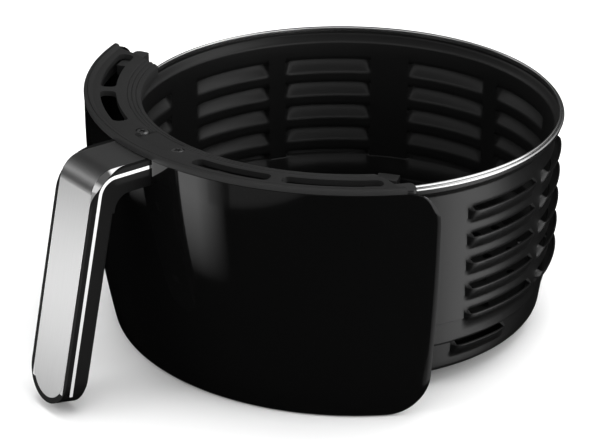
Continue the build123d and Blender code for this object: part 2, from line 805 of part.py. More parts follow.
def make_side_lug(side):
    """Rounded lug that stands out of the flange's end."""
    az0, az1 = (lug_az[0], lug_az[1]) if side > 0 else (-lug_az[1], -lug_az[0])
    top = plateau_in_z - flange_t - fit
    body = ring(lug_r, lug_r + lug_w, top - lug_h, top) & sector(az0, az1, 2 * cover_r, top - lug_h, top)
    tip = body.edges().filter_by(Axis.Z).sort_by(Axis.Y)[-2:]
    return fillet(tip, lug_w * 0.3)


# ---------------------------------------------------------------- handle

def handle_path(depth, start, short=0.0):
    """Arm, corner and grip line, moved in from the outer face by depth."""
    lean = radians(grip_lean)
    corner = (arm_corner_y - depth * tan(pi / 4 - lean / 2), handle_top - depth)
    run = grip_len - short
    end = (
        arm_corner_y + run * sin(lean) - depth * cos(lean),
        handle_top - run * cos(lean) - depth * sin(lean),
    )
    return [(start, handle_top - depth), corner, end]


def handle_layer(d0, d1, w, start, short=0.0, corner=None, round_end=True):
    """Solid between two depths below the handle's outer face, w wide, with a round end."""
    corner = outer_corner - (d0 + d1) / 2 if corner is None else corner
    outline = sheet_outline(handle_path((d0 + d1) / 2, start, short), [corner], d1 - d0)
    body = extrude(handle_plane * outline, amount=w / 2, both=True)
    if round_end:
        low = handle_top / 3
        near = body.edges().filter_by(lambda e: abs(e.length - (d1 - d0)) < 0.01 and e.center().Z < low)
        body = fillet(near, w / 2 - 0.05)
    return body


def make_handle_face():
    """Brushed aluminium plate let into the trim."""
    return handle_layer(0, face_t, face_w, arm_start, (handle_w - face_w) / 2)


def make_face_tape():
    short = (handle_w - face_w) / 2 + tape_in
    return handle_layer(face_t, face_t + tape_t, face_w - 2 * tape_in, arm_start, short)


def face_pocket():
    short = (handle_w - face_w) / 2 - fit
    return handle_layer(-0.5, face_t + tape_t, face_w + 2 * fit, arm_start - 1, short)


def trim_block():
    """Chrome frame before its middle is cut out: bevelled along both long edges."""
    block = handle_layer(0, trim_t, handle_w, arm_start, trim_short, round_end=False)
    long_edges = block.edges().filter_by(lambda e: abs(abs(e.center().X) - handle_w / 2) < 0.01)
    outer = long_edges.filter_by(lambda e: e.length > trim_t and handle_depth(e.position_at(0.5)) < 0.2)
    return chamfer(outer, (handle_w - face_w) / 2 - trim_wall)


def grip_depth(p):
    """How far a point lies below the grip's outer face."""
    lean = radians(grip_lean)
    line_y = arm_corner_y + (handle_top - p.Z) * tan(lean)
    return (line_y + p.Y) * cos(lean)


def handle_depth(p):
    """How far a point lies below the outer face of arm or grip."""
    on_arm = -p.Y < arm_corner_y - outer_corner
    return handle_top - p.Z if on_arm else grip_depth(p)


def make_handle_trim():
    start = arm_start + trim_bridge
    width = face_w - 4 * tape_in
    middle = handle_layer(face_t + tape_t, trim_t + 1, width, start, trim_short / 2, round_end=False)
    return trim_block() - face_pocket() - middle


def tang_solid(grow):
    """Steel bar inside arm and grip, or the room for it."""
    middle = tang_depth + tang_t / 2
    path = handle_path(middle, tang_start - grow, tang_short - grow)
    outline = sheet_outline(path, [outer_corner / 2], tang_t + 2 * grow)
    return extrude(handle_plane * outline, amount=tang_w / 2 + grow, both=True)


def grip_box(z0, z1, y0, y1, w):
    """Box in the grip's own frame: y is depth below the face, z runs down the grip."""
    block = Box(w, y1 - y0, z1 - z0, align=(Align.CENTER, Align.MIN, Align.MAX))
    return grip_place * (Pos(0, y0, -z0) * block)


def grip_screw_tools(d, y0, y1):
    tools = []
    for z in grip_screw_z:
        tools.append(grip_place * (Pos(0, y0, -z) * Rot(-90, 0, 0) * upright(d, 0, y1 - y0)))
    return tools


def handle_block():
    """Whole black body before the other pieces are let into it."""
    body = handle_layer(0, handle_t, handle_w, arm_start, corner=inner_corner + handle_t / 2)
    stub_w = 2 * (screw_x - screw_head_d / 2 - 2 * fit)
    stub = Pos(0, -rim_free_r, handle_low) * Box(
        stub_w, arm_start - rim_free_r + 2, tenon_t, align=(Align.CENTER, Align.MAX, Align.MIN)
    )
    foot = Pos(0, -shelf_reach, handle_low) * Box(
        shelf_w, shelf_reach - floor_r, foot_t, align=(Align.CENTER, Align.MIN, Align.MIN)
    )
    foot = fillet(foot.edges().filter_by(Axis.Z).sort_by(Axis.Y)[:2], shelf_corner)
    return body + stub + foot - ring(0.1, rim_free_r + fit, 0, rim_top * 2)


def back_zone():
    """Part of the grip taken up by its back cover."""
    return grip_box(back_start, grip_len + handle_w, handle_t - back_t, handle_t + handle_w, handle_w * 2)


def make_handle_shell():
    body = handle_block() - trim_block() - face_pocket() - tang_solid(tang_fit) - back_zone()
    drills = grip_screw_tools(screw_bore, grip_screw_tip, handle_t)
    for x in (-screw_x, screw_x):
        drills.append(Pos(x, -screw_y, 0) * upright(screw_bore, handle_low - 1, handle_low + foot_t + 1))
    bolt = upright(handle_screw_bore, handle_low - 1, handle_low + tenon_t - 1)
    drills.append(Pos(0, -handle_screw_y, 0) * bolt)
    return body - drills


def make_grip_back():
    body = handle_block() & back_zone()
    rim = body.edges().filter_by(lambda e: grip_depth(e.position_at(0.5)) > handle_t - 0.05)
    body = chamfer(rim, back_bevel)
    body = body - grip_screw_tools(screw_bore, handle_t - back_t - 1, handle_t + 1)
    return body - grip_screw_tools(sink_d, handle_t - grip_screw_sink, handle_t + 1)


def make_grip_screws():
    seat = handle_t - grip_screw_sink
    screw = cross_screw(screw_d, seat - grip_screw_tip - 4 * fit, screw_head_d, grip_head_t)
    return [grip_place * Pos(0, seat, -z) * Rot(-90, 0, 0) * screw for z in grip_screw_z]


def make_handle_tang():
    bar = tang_solid(0)
    bar = bar - grip_screw_tools(screw_bore, grip_screw_tip, handle_t)
    return bar - Pos(0, -handle_screw_y, 0) * upright(handle_screw_bore, handle_low, handle_top)


def make_handle_screw():
    length = bracket_t + tenon_t - handle_head_t
    screw = cross_screw(handle_screw_d, length, handle_screw_head, handle_head_t)
    return Pos(0, -handle_screw_y, shelf_z) * Rot(180, 0, 0) * screw


# ---------------------------------------------------------------- write the pieces

pieces = {
    "basket_pan": make_basket_pan() - pan_rivet_holes(),
    "rim_ring": make_rim_ring(),
    "crisper_plate": make_crisper_plate(),
    "crisper_bumpers": make_crisper_bumpers(),
    "front_cover": make_front_cover(),
    "heat_shield": make_heat_shield(),
    "shield_screws": make_shield_screws(),
    "strap_left": make_strap(strap_az[0]),
    "strap_right": make_strap(strap_az[1]),
    "strap_screws": make_strap_screws(),
    "strap_rivets": make_strap_rivets(),
    "pan_bracket": make_pan_bracket(),
    "bracket_rivets": make_bracket_rivets(),
    "top_flange": make_top_flange(),
    "flange_screws": make_flange_screws(),
    "flange_nuts": make_flange_nuts(),
    "side_lug_left": make_side_lug(-1),
    "side_lug_right": make_side_lug(1),
    "handle_shell": make_handle_shell(),
    "grip_back": make_grip_back(),
    "grip_screws": make_grip_screws(),
    "handle_trim": make_handle_trim(),
    "handle_face": make_handle_face(),
    "face_tape": make_face_tape(),
    "handle_tang": make_handle_tang(),
    "handle_screw": make_handle_screw(),
}

os.makedirs("parts", exist_ok=True)
for name, shape in pieces.items():
    whole = Compound(children=shape) if isinstance(shape, list) else shape
    export_step(whole, f"parts/{name}.step")
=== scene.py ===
from math import atan2, cos, hypot, pi, radians, sin, sqrt

import bmesh
import bpy
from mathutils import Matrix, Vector


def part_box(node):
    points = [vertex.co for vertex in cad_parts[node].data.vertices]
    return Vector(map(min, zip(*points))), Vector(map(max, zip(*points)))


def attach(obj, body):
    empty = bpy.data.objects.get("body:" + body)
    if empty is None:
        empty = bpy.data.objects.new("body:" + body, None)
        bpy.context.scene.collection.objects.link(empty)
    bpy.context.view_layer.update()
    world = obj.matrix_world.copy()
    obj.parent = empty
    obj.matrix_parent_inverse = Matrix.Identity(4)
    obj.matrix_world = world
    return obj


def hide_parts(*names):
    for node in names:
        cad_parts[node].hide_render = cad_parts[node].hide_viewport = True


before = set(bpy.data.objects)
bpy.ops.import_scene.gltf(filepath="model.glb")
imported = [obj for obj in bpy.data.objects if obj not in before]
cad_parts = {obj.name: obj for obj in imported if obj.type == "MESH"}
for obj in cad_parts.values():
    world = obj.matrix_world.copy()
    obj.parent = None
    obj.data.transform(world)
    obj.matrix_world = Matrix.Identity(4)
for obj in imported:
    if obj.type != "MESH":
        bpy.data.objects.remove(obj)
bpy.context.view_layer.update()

# ---------------------------------------------------------------- basket pan
# The pan that the food goes in: one drawn steel sheet with a satin black non-stick coat.
# Rows of louvres are pressed out through its wall, and a shallow well keeps its floor off the table.


class Wire:
    """One socket of a node tree. Arithmetic on it adds the tree's Math nodes."""

    def __init__(self, tree, socket=None):
        self.tree = tree
        self.socket = socket

    def node(self, kind, settings=None, values=None, out=0):
        """A new node in the same tree: settings first, then the values or wires of its sockets."""
        made = self.tree.nodes.new(kind)
        for name, value in (settings or {}).items():
            if name == "stops":
                ramp = made.color_ramp.elements
                while len(ramp) < len(value):
                    ramp.new(1.0)
                for stop, (place, colour) in zip(ramp, value):
                    stop.position = place
                    stop.color = colour
            else:
                setattr(made, name, value)
        for name, value in (values or {}).items():
            if isinstance(value, Wire):
                self.tree.links.new(value.socket, made.inputs[name])
            else:
                made.inputs[name].default_value = value
        return Wire(self.tree, made.outputs[out])

    def math(self, operation, *terms):
        return self.node("ShaderNodeMath", {"operation": operation}, dict(enumerate(terms)))

    def __add__(self, other):
        return self.math("ADD", self, other)

    def __sub__(self, other):
        return self.math("SUBTRACT", self, other)

    def __rsub__(self, other):
        return self.math("SUBTRACT", other, self)

    def __mul__(self, other):
        return self.math("MULTIPLY", self, other)

    def __rmul__(self, other):
        return self.math("MULTIPLY", other, self)

    def __truediv__(self, other):
        return self.math("DIVIDE", self, other)

    def __pow__(self, other):
        return self.math("POWER", self, other)

    def __abs__(self):
        return self.math("ABSOLUTE", self)

    def __gt__(self, other):
        return self.math("GREATER_THAN", self, other)

    def __lt__(self, other):
        return self.math("LESS_THAN", self, other)

    def clamped(self, low=0.0, high=1.0):
        return self.math("MINIMUM", self.math("MAXIMUM", self, low), high)

    def noise(self, scale, detail=2.0, roughness=0.5):
        """Noise from 0 to 1 on these coordinates."""
        values = {"Vector": self, "Scale": scale, "Detail": detail, "Roughness": roughness}
        return self.node("ShaderNodeTexNoise", None, values)

    def stretched(self, scale):
        return self.node("ShaderNodeMapping", None, {"Vector": self, "Scale": scale})

    def between(self, dark, light):
        """Colour that goes from one to the other as this value goes from 0 to 1."""
        return self.node("ShaderNodeMix", {"data_type": "RGBA"}, {0: self, 6: dark, 7: light}, 2)

    def scaled(self, low, high):
        """This value from 0 to 1 moved to run from low to high."""
        return self * (high - low) + low

    def parts(self):
        split = self.node("ShaderNodeSeparateXYZ", None, {"Vector": self})
        outputs = split.socket.node.outputs
        return [Wire(self.tree, outputs[n]) for n in range(3)]


def grey(level):
    return (level, level, level, 1.0)


class Finish:
    """A material with one Principled shader and a wire on Object coordinates."""

    def __init__(self, name, **constants):
        self.material = bpy.data.materials.new(name)
        self.material.use_nodes = True
        tree = self.material.node_tree
        self.shader = tree.nodes["Principled BSDF"]
        for socket, value in constants.items():
            self.shader.inputs[socket.replace("_", " ")].default_value = value
        self.place = Wire(tree).node("ShaderNodeTexCoord", out="Object")

    def feed(self, socket, wire):
        wire.tree.links.new(wire.socket, self.shader.inputs[socket])

    def bump(self, height, distance, strength=1.0):
        values = {"Height": height, "Distance": distance, "Strength": strength}
        self.feed("Normal", height.node("ShaderNodeBump", None, values))


def spun(rows, azimuths):
    """Vertices and faces of (radius, height) rows turned all the way round.

    Faces point to the left of the rows.
    """
    points = []
    starts = []
    count = len(azimuths)
    for r, z in rows:
        starts.append(len(points))
        if r == 0:
            points.append((0, 0, z))
        else:
            points += [(r * sin(a), r * cos(a), z) for a in azimuths]
    faces = []
    for low, high, (r0, _), (r1, _) in zip(starts, starts[1:], rows, rows[1:]):
        for j in range(count):
            k = (j + 1) % count
            corners = [low + j * (r0 > 0), high + j * (r1 > 0)]
            corners += [high + k * (r1 > 0), low + k * (r0 > 0)]
            faces.append(list(dict.fromkeys(corners)))
    return points, faces


def new_piece(name, points, faces):
    mesh = bpy.data.meshes.new(name)
    mesh.from_pydata([tuple(p) for p in points], [], faces)
    mesh.update()
    piece = bpy.data.objects.new(name, mesh)
    bpy.context.scene.collection.objects.link(piece)
    return piece


def modified(piece, kind, **settings):
    change = piece.modifiers.new(kind.title(), kind)
    for name, value in settings.items():
        setattr(change, name, value)
    return change


def settle(piece, crisp=32):
    """Make what the modifiers give the piece's own mesh, with edges over crisp degrees kept sharp."""
    graph = bpy.context.evaluated_depsgraph_get()
    mesh = bpy.data.meshes.new_from_object(piece.evaluated_get(graph))
    piece.modifiers.clear()
    piece.data = mesh
    mesh.shade_smooth()
    mesh.set_sharp_from_angle(angle=radians(crisp))
    return piece


def built(piece, body, slot, finish, *nodes):
    """Give a new piece its finish and its body, and hide the CAD nodes that it stands for. The slot is
    not used.
    """
    piece.data.materials.clear()
    piece.data.materials.append(finish.material)
    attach(piece, body)
    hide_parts(*nodes)


def rule_tree(name, sizes):
    """Geometry Nodes tree with a mesh in, a mesh out, and one named input for each size."""
    tree = bpy.data.node_groups.new(name, "GeometryNodeTree")
    tree.interface.new_socket("Geometry", in_out="INPUT", socket_type="NodeSocketGeometry")
    tree.interface.new_socket("Geometry", in_out="OUTPUT", socket_type="NodeSocketGeometry")
    for size in sizes:
        tree.interface.new_socket(size, in_out="INPUT", socket_type="NodeSocketFloat")
    given = tree.nodes.new("NodeGroupInput")
    return tree, {socket.name: Wire(tree, socket) for socket in given.outputs if socket.name}


def rule_end(tree, mesh, material):
    """Close a tree: instances made real, material set."""
    real = mesh.node("GeometryNodeRealizeInstances", None, {"Geometry": mesh})
    done = real.node("GeometryNodeSetMaterial", None, {"Geometry": real, "Material": material})
    tree.links.new(done.socket, tree.nodes.new("NodeGroupOutput").inputs[0])


def apply_rule(piece, tree, sizes):
    """Put the tree on the piece with its sizes set by each socket's identifier."""
    change = piece.modifiers.new(tree.name, "NODES")
    change.node_group = tree
    for item in tree.interface.items_tree:
        if item.in_out == "INPUT" and item.name in sizes:
            change[item.identifier] = float(sizes[item.name])


rim_low, rim_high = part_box("rim_ring")
pan_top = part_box("basket_pan")[1].z
rim_r = rim_high.x
rim_over = 0.0038          # the rim stands this far outside the wall
wall_r = rim_r - rim_over
sheet_t = 0.0010
floor_z = 0.0075           # underside of the pan floor
crease_hi = floor_z + 0.0270
crease_lo = floor_z + 0.0162
step_hi = 0.0006           # wall steps in at the upper crease
step_lo = 0.0014           # and has moved in this far at the lower one
step_foot = 0.0003         # it steps in once more just below that
foot_in = 0.0039           # and this far at the floor
foot_round = 0.0040
well_r = 0.0780            # radius of the well that the pan stands on
well_out = 0.0050
louvre_sizes = {
    "Turn": radians(-2.0),
    "Pair pitch": radians(69.4),
    "Last pair": 2,
    "Column shift": radians(15.75),
    "Half span": radians(13.3),
    "Wall radius": wall_r,
    "Top row": floor_z + 0.0798,
    "Row pitch": 0.0130,
    "Last row": 4,
    "Lip above row": 0.0024,
    "Slit": 0.0010,
    "Hood height": 0.0070,
    "Stand off": 0.0034,
    "End round": 0.0062,
    "Cut from": 0.74,
    "Short shift": radians(22.6),
    "Short half span": radians(9.6),
    "Short row": floor_z + 0.0120,
}


def wall_radius(z):
    """Outside radius of the wall at height z, from the floor's bend up to the flare."""
    if z >= crease_hi:
        return wall_r
    if z >= crease_lo:
        return wall_r - step_hi - (step_lo - step_hi) * (crease_hi - z) / (crease_hi - crease_lo)
    share = (crease_lo - z) / (crease_lo - floor_z)
    return wall_r - step_lo - step_foot - (foot_in - step_lo - step_foot) * share


def pan_rows():
    """Outside of the sheet from the middle of the well to under the rim ring."""
    rows = [(0, 0), (0.3 * well_r, 0), (0.6 * well_r, 0), (0.85 * well_r, 0), (well_r - 0.0012, 0)]
    rows.append((well_r, 0.0005))
    rows += [(well_r + share * well_out, share * floor_z) for share in (0.3, 0.7)]
    rows += [(well_r + 0.93 * well_out, floor_z - 0.0006), (well_r + well_out + 0.0006, floor_z)]
    bend_r = wall_radius(floor_z + foot_round) - foot_round
    for n in range(7):
        turn = radians(-90 + 82 * n / 6)
        rows.append((bend_r + foot_round * cos(turn), floor_z + foot_round + foot_round * sin(turn)))
    lip = louvre_sizes["Lip above row"]
    foot = lip - louvre_sizes["Hood height"]
    steps = [foot - 0.0010, foot]
    hood_shares = (0.1, 0.2, 0.32, 0.45, 0.58, 0.7, 0.8, 0.88, 0.94, 1)
    steps += [foot + (lip - foot) * share for share in hood_shares]
    steps.append(lip + louvre_sizes["Slit"])
    above_slit = 0.0030
    short_row = louvre_sizes["Short row"]
    bend_top = floor_z + foot_round + 0.0005
    heights = [short_row + step for step in steps if short_row + step > bend_top]
    heights += [crease_lo - 0.0004, crease_lo + 0.0001, crease_lo + 0.0006]
    heights += [crease_lo + 0.004, crease_hi - 0.0035]
    heights += [crease_hi - 0.0006, crease_hi - 0.0001, crease_hi + 0.0004]
    for row in range(5):
        middle = louvre_sizes["Top row"] - row * louvre_sizes["Row pitch"]
        heights += [middle + step for step in steps if middle + step > crease_hi + 0.0008]
        heights.append(middle + lip + above_slit)
    rows += [(wall_radius(z), z) for z in sorted(heights)]
    flare_z = rim_low.z - 0.0060
    neck_r = rim_r - 0.0007
    for share in (0, 0.08, 0.2, 0.4, 0.6, 0.8, 0.92, 1):
        swing = (1 - cos(pi * share)) / 2
        rows.append((wall_r + (neck_r - wall_r) * swing, flare_z + 0.0046 * share))
    rows.append((neck_r, rim_low.z + 0.0004))
    return rows


def stepped(breaks, fine, coarse, tight):
    """Angles between the breaks: fine steps in the stretches named by tight, coarse ones elsewhere."""
    angles = []
    for n, (a, b) in enumerate(zip(breaks, breaks[1:])):
        count = max(1, round((b - a) / (fine if n in tight else coarse)))
        angles += [a + (b - a) * k / count for k in range(count)]
    return angles


def pan_azimuths():
    """Lines up the pan, close together where louvres end."""
    half = louvre_sizes["Half span"]
    shift = louvre_sizes["Column shift"]
    ends = [-shift - half, -shift + half, shift - half, shift + half]
    ends += [louvre_sizes["Short shift"] + k * louvre_sizes["Short half span"] for k in (-1, 1)]
    margin = radians(2.6)
    pitch = louvre_sizes["Pair pitch"]
    around_ends = [e + side * margin for side in (-1, 0, 1) for e in ends]
    stops = sorted([-pitch / 2, pitch / 2] + around_ends)
    stops = [s for s in stops if abs(s) <= pitch / 2 + 1e-6]
    breaks = [stops[0]]
    for s in stops[1:]:
        if s - breaks[-1] > radians(0.3):
            breaks.append(s)
    breaks[-1] = pitch / 2
    tight = []
    for n, (a, b) in enumerate(zip(breaks, breaks[1:])):
        if any(abs((a + b) / 2 - e) < margin for e in ends):
            tight.append(n)
    one = stepped(breaks, radians(0.62), radians(1.9), tight)
    last = int(louvre_sizes["Last pair"])
    azimuths = []
    for pair in range(-last, last + 1):
        azimuths += [pair * pitch + a for a in one]
    front = (last + 0.5) * pitch
    rest = 2 * pi - 2 * front
    azimuths += [front + rest * k / 4 for k in range(4)]
    return [a + louvre_sizes["Turn"] for a in azimuths]


def louvre_rule(material):
    """Tree that presses the louvres out of a plain pan: it folds every place onto one louvre."""
    tree, given = rule_tree("louvres", louvre_sizes)
    here = Wire(tree).node("GeometryNodeInputPosition")
    x, y, z = here.parts()
    around = x.math("ARCTAN2", x, y) - given["Turn"]
    pair = (around / given["Pair pitch"]).math("ROUND", around / given["Pair pitch"])
    pair = pair.clamped(0 - given["Last pair"], given["Last pair"])
    within = around - pair * given["Pair pitch"]
    long_end = (given["Half span"] - abs(abs(within) - given["Column shift"])) * given["Wall radius"]
    row = (given["Top row"] - z) / given["Row pitch"]
    row = row.math("ROUND", row).clamped(0.0, given["Last row"])
    long_height = z - given["Top row"] + row * given["Row pitch"]
    short_end = (given["Short half span"] - abs(within - given["Short shift"])) * given["Wall radius"]
    short_height = z - given["Short row"]

    def hood(end, height):
        """How far the sheet stands out, and whether it is cut away."""
        near = 1 - (end / given["End round"]).clamped()
        width = (1 - near * near).math("SQRT", 1 - near * near)
        below = given["Lip above row"] - height
        share = (below / given["Hood height"]).clamped()
        swell = 1 - share ** 1.6
        out = given["Stand off"] * width * swell * (below > -1e-5)
        gap = (below < -1e-5) * (below > (-1e-5 - given["Slit"])) * (width > given["Cut from"])
        return out, gap

    long_out, long_gap = hood(long_end, long_height)
    short_out, short_gap = hood(short_end, short_height)
    cut = here.node(
        "GeometryNodeDeleteGeometry",
        {"domain": "FACE"},
        {"Geometry": given["Geometry"], "Selection": (long_gap + short_gap) > 0.5},
    )
    out = long_out + short_out
    radius = (x * x + y * y).math("SQRT", x * x + y * y)
    grow = out / radius.clamped(0.001, 1.0)
    shift = here.node("ShaderNodeCombineXYZ", None, {"X": x * grow, "Y": y * grow})
    pressed = cut.node("GeometryNodeSetPosition", None, {"Geometry": cut, "Offset": shift})
    rule_end(tree, pressed, material)
    return tree


def nonstick(name, tone, roughness, shine=0.5):
    """Satin black coat with a fine cured grain and faint cloudy variation."""
    coat = Finish(name, IOR=1.5, Specular_IOR_Level=shine)
    clouds = coat.place.noise(28, 3)
    speck = coat.place.noise(2600, 1)
    coat.feed("Base Color", clouds.between(grey(tone * 0.85), grey(tone * 1.15)))
    coat.feed("Roughness", clouds.scaled(roughness - 0.03, roughness + 0.04))
    coat.bump(speck, 0.00002, 0.35)
    return coat


pan_coat = nonstick("nonstick_coat", 0.004, 0.38)
basket_pan = new_piece("basket_pan_pressed", *spun(pan_rows(), pan_azimuths()))
apply_rule(basket_pan, louvre_rule(pan_coat.material), louvre_sizes)
modified(basket_pan, "SOLIDIFY", thickness=sheet_t * 0.9, offset=-1, use_rim=True)
modified(basket_pan, "BEVEL", width=0.00022, segments=2, limit_method="ANGLE", angle_limit=radians(62))
settle(basket_pan, 40)
built(basket_pan, "drawer", "nonstick_pan", pan_coat, "basket_pan")

# ---------------------------------------------------------------- rim ring
# Bright steel bead rolled over the top of the pan.
# It is left bare, and stands a little outside the wall.

rim_in = rim_r - 0.0024
ring_columns = 256
ring_rows = [
    (rim_r - 0.0005, rim_low.z), (rim_r - 0.0001, rim_low.z + 0.0002), (rim_r, rim_low.z + 0.0005),
    (rim_r - 0.00012, rim_low.z + 0.0009), (rim_r - 0.00035, rim_low.z + 0.0013),
    (rim_r - 0.0007, rim_low.z + 0.0016), (rim_r - 0.00095, rim_low.z + 0.0017),
    (rim_r - 0.00105, rim_low.z + 0.0012), (rim_r - 0.00125, rim_low.z + 0.0012),
    (rim_r - 0.00138, rim_high.z - 0.0003), (rim_r - 0.0016, rim_high.z - 0.00006),
    (rim_r - 0.0018, rim_high.z), (rim_r - 0.0021, rim_high.z - 0.00015),
    (rim_r - 0.0023, rim_high.z - 0.0004),
    (rim_in, rim_high.z - 0.0008), (rim_in, rim_low.z),
]
ring_rows.append(ring_rows[0])
bright = Finish("bare_bright_steel", Metallic=1.0)
streak = bright.place.stretched((1, 1, 40)).noise(30, 2)
bright.feed("Base Color", streak.between(grey(0.72), grey(0.84)))
bright.feed("Roughness", streak.scaled(0.16, 0.26))
ring_azimuths = [2 * pi * n / ring_columns for n in range(ring_columns)]
rim_ring = new_piece("rim_ring_rolled", *spun(ring_rows, ring_azimuths))
weld = bmesh.new()
weld.from_mesh(rim_ring.data)
bmesh.ops.remove_doubles(weld, verts=weld.verts, dist=1e-6)
weld.to_mesh(rim_ring.data)
weld.free()
settle(rim_ring, 50)
built(rim_ring, "drawer", "bright_rim", bright, "rim_ring")

# ---------------------------------------------------------------- crisper plate
# Pierced plate that lifts out of the pan, pressed from the same coated steel.
# Silicone caps on its edge keep it off the wall.


def refinish(node, finish):
    """A CAD piece keeps its shape and takes this finish."""
    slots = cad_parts[node].data.materials
    slots.clear()
    slots.append(finish.material)


refinish("crisper_plate", nonstick("plate_coat", 0.003, 0.45, 0.2))
silicone = Finish("silicone", Base_Color=grey(0.03))
silicone.feed("Roughness", silicone.place.noise(300).scaled(0.55, 0.7))
silicone.bump(silicone.place.noise(1500), 0.00003, 0.4)
refinish("crisper_bumpers", silicone)

# ---------------------------------------------------------------- brackets and fasteners
# Zinc-plated pressed steel carries the handle, flange and cover on the pan.
# Alloy rivets hold it to the wall, and a thin bright sheet keeps heat off the cover.


def plated(name, tone, roughness):
    """Plated or bare sheet metal: dull, with faint spangle and rolling lines."""
    metal = Finish(name, Metallic=1.0)
    spangle = metal.place.noise(220, 3)
    metal.feed("Base Color", spangle.between(grey(tone * 0.8), grey(tone)))
    metal.feed("Roughness", spangle.scaled(roughness - 0.08, roughness + 0.08))
    metal.bump(metal.place.noise(900), 0.00002, 0.3)
    return metal


zinc = plated("zinc_plate", 0.55, 0.38)
alloy = plated("rivet_alloy", 0.62, 0.42)
mill = plated("aluminised_sheet", 0.60, 0.34)
screw_zinc = plated("screw_zinc", 0.5, 0.32)
for node in ("pan_bracket", "strap_left", "strap_right", "handle_tang"):
    refinish(node, zinc)
for node in ("bracket_rivets", "strap_rivets"):
    refinish(node, alloy)
for node in ("shield_screws", "strap_screws", "flange_nuts", "handle_screw"):
    refinish(node, screw_zinc)
refinish("heat_shield", mill)

# ---------------------------------------------------------------- front cover
# Deep black, high-gloss moulded shell: a sector of a barrel with rounded corners.
# It hangs from the flange and is notched at the top for the handle's arm.

cover_low, cover_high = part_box("front_cover")
flange_low, flange_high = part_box("top_flange")
cover_back = 0.0044        # cover and flange are turned about an axis this far behind the pan's
cover_r = cover_back - flange_low.y
crown_z = pan_top - 0.0057  # the cover stands out most at this height
bulge = 0.480              # radius of its upright curve
cover_t = 0.0018
cover_room = 0.0027        # the flange skirt stands this far inside the cover
cover_half = radians(67.7)
top_corner = 0.0150
low_corner = 0.0200
notch_half = 0.0153
notch_z = 0.1023
notch_angle = atan2(notch_half, cover_r)


def cover_radius(z):
    return cover_r - (crown_z - z) ** 2 / (2 * bulge)


def cover_half_at(z):
    """Half-angle of the cover at height z, less near its rounded corners."""
    for edge, corner, up in ((cover_low.z, low_corner, 1), (cover_high.z, top_corner, -1)):
        inside = (z - edge) * up
        if inside < corner:
            pulled = corner - sqrt(max(0.0, corner**2 - (corner - max(inside, 0.0)) ** 2))
            return cover_half - pulled / cover_r
    return cover_half


def cover_heights():
    """Rows up the cover, close together in the corners."""
    heights = [cover_low.z + low_corner * (1 - cos(pi / 2 * n / 12)) for n in range(12)]
    low = cover_low.z + low_corner
    high = cover_high.z - top_corner
    heights += [low + (high - low) * n / 26 for n in range(27)]
    heights += [cover_high.z - top_corner * (1 - sin(pi / 2 * n / 10)) for n in range(1, 11)]
    nearest = min(range(len(heights)), key=lambda n: abs(heights[n] - notch_z))
    heights[nearest] = notch_z
    return heights


def cover_angles():
    """Even columns with one exactly on each side of the notch."""
    side = [notch_angle + (1 - notch_angle / cover_half) * cover_half * n / 58 for n in range(59)]
    return [-a for a in reversed(side)] + [notch_angle * n / 6 for n in range(-5, 6)] + side


def cover_blank():
    heights = cover_heights()
    angles = cover_angles()
    steady = radians(48)
    points = []
    for z in heights:
        half = cover_half_at(z)
        for a in angles:
            turn = a
            if abs(a) > steady:
                turn = steady + (abs(a) - steady) * (half - steady) / (cover_half - steady)
                turn = turn if a > 0 else -turn
            r = cover_radius(z)
            points.append((r * sin(turn), cover_back - r * cos(turn), z))
    count = len(angles)
    faces = []
    for i, z in enumerate(heights[:-1]):
        for j in range(count - 1):
            middle = (angles[j] + angles[j + 1]) / 2
            if z < notch_z - 1e-6 or abs(middle) > notch_angle:
                low = i * count + j
                faces.append([low, low + 1, low + count + 1, low + count])
    return points, faces


gloss = Finish("deep_gloss_black", Base_Color=grey(0.0025), IOR=1.45)
gloss.feed("Roughness", gloss.place.noise(9, 3).scaled(0.045, 0.075))
gloss.bump(gloss.place.noise(14, 1), 0.00006, 0.25)
front_cover = new_piece("front_cover_shell", *cover_blank())
modified(front_cover, "SOLIDIFY", thickness=cover_t, offset=-1, use_even_offset=True)
modified(front_cover, "BEVEL", width=0.0006, segments=3, limit_method="ANGLE", angle_limit=radians(50))
settle(front_cover, 40)
built(front_cover, "drawer", "cover_gloss", gloss, "front_cover")

# ---------------------------------------------------------------- top flange
# Dark grey moulded ring that caps the gap between pan and cover.
# Four long vents are moulded through its plateau, and a bead runs round its outer edge.

flange_half = radians(60.9)
flange_inner_half = radians(55.2)
inner_r = 0.0976
collar_z = flange_high.z - 0.0045
plateau_in_r = cover_r - 0.0170
plateau_in_z = flange_high.z - 0.0025
plateau_out_r = cover_r - 0.0040
plateau_out_z = flange_high.z - 0.0016
flange_t = 0.0026
skirt_t = 0.0020
skirt_z = cover_high.z - 0.0090
collar_r = rim_r - 0.0030
inner_edge_z = rim_high.z - 0.0012
skirt_r = cover_radius(cover_high.z) - cover_room


def cover_point(r, az, z):
    """Place on radius r about the cover's axis, az from the handle towards +X."""
    return Vector((r * sin(az), cover_back - r * cos(az), z))


def inner_edge(az):
    """Distance from the cover's axis to the flange's inner edge, round about the pan's axis."""
    return cover_back * cos(az) + sqrt(inner_r**2 - (cover_back * sin(az)) ** 2)


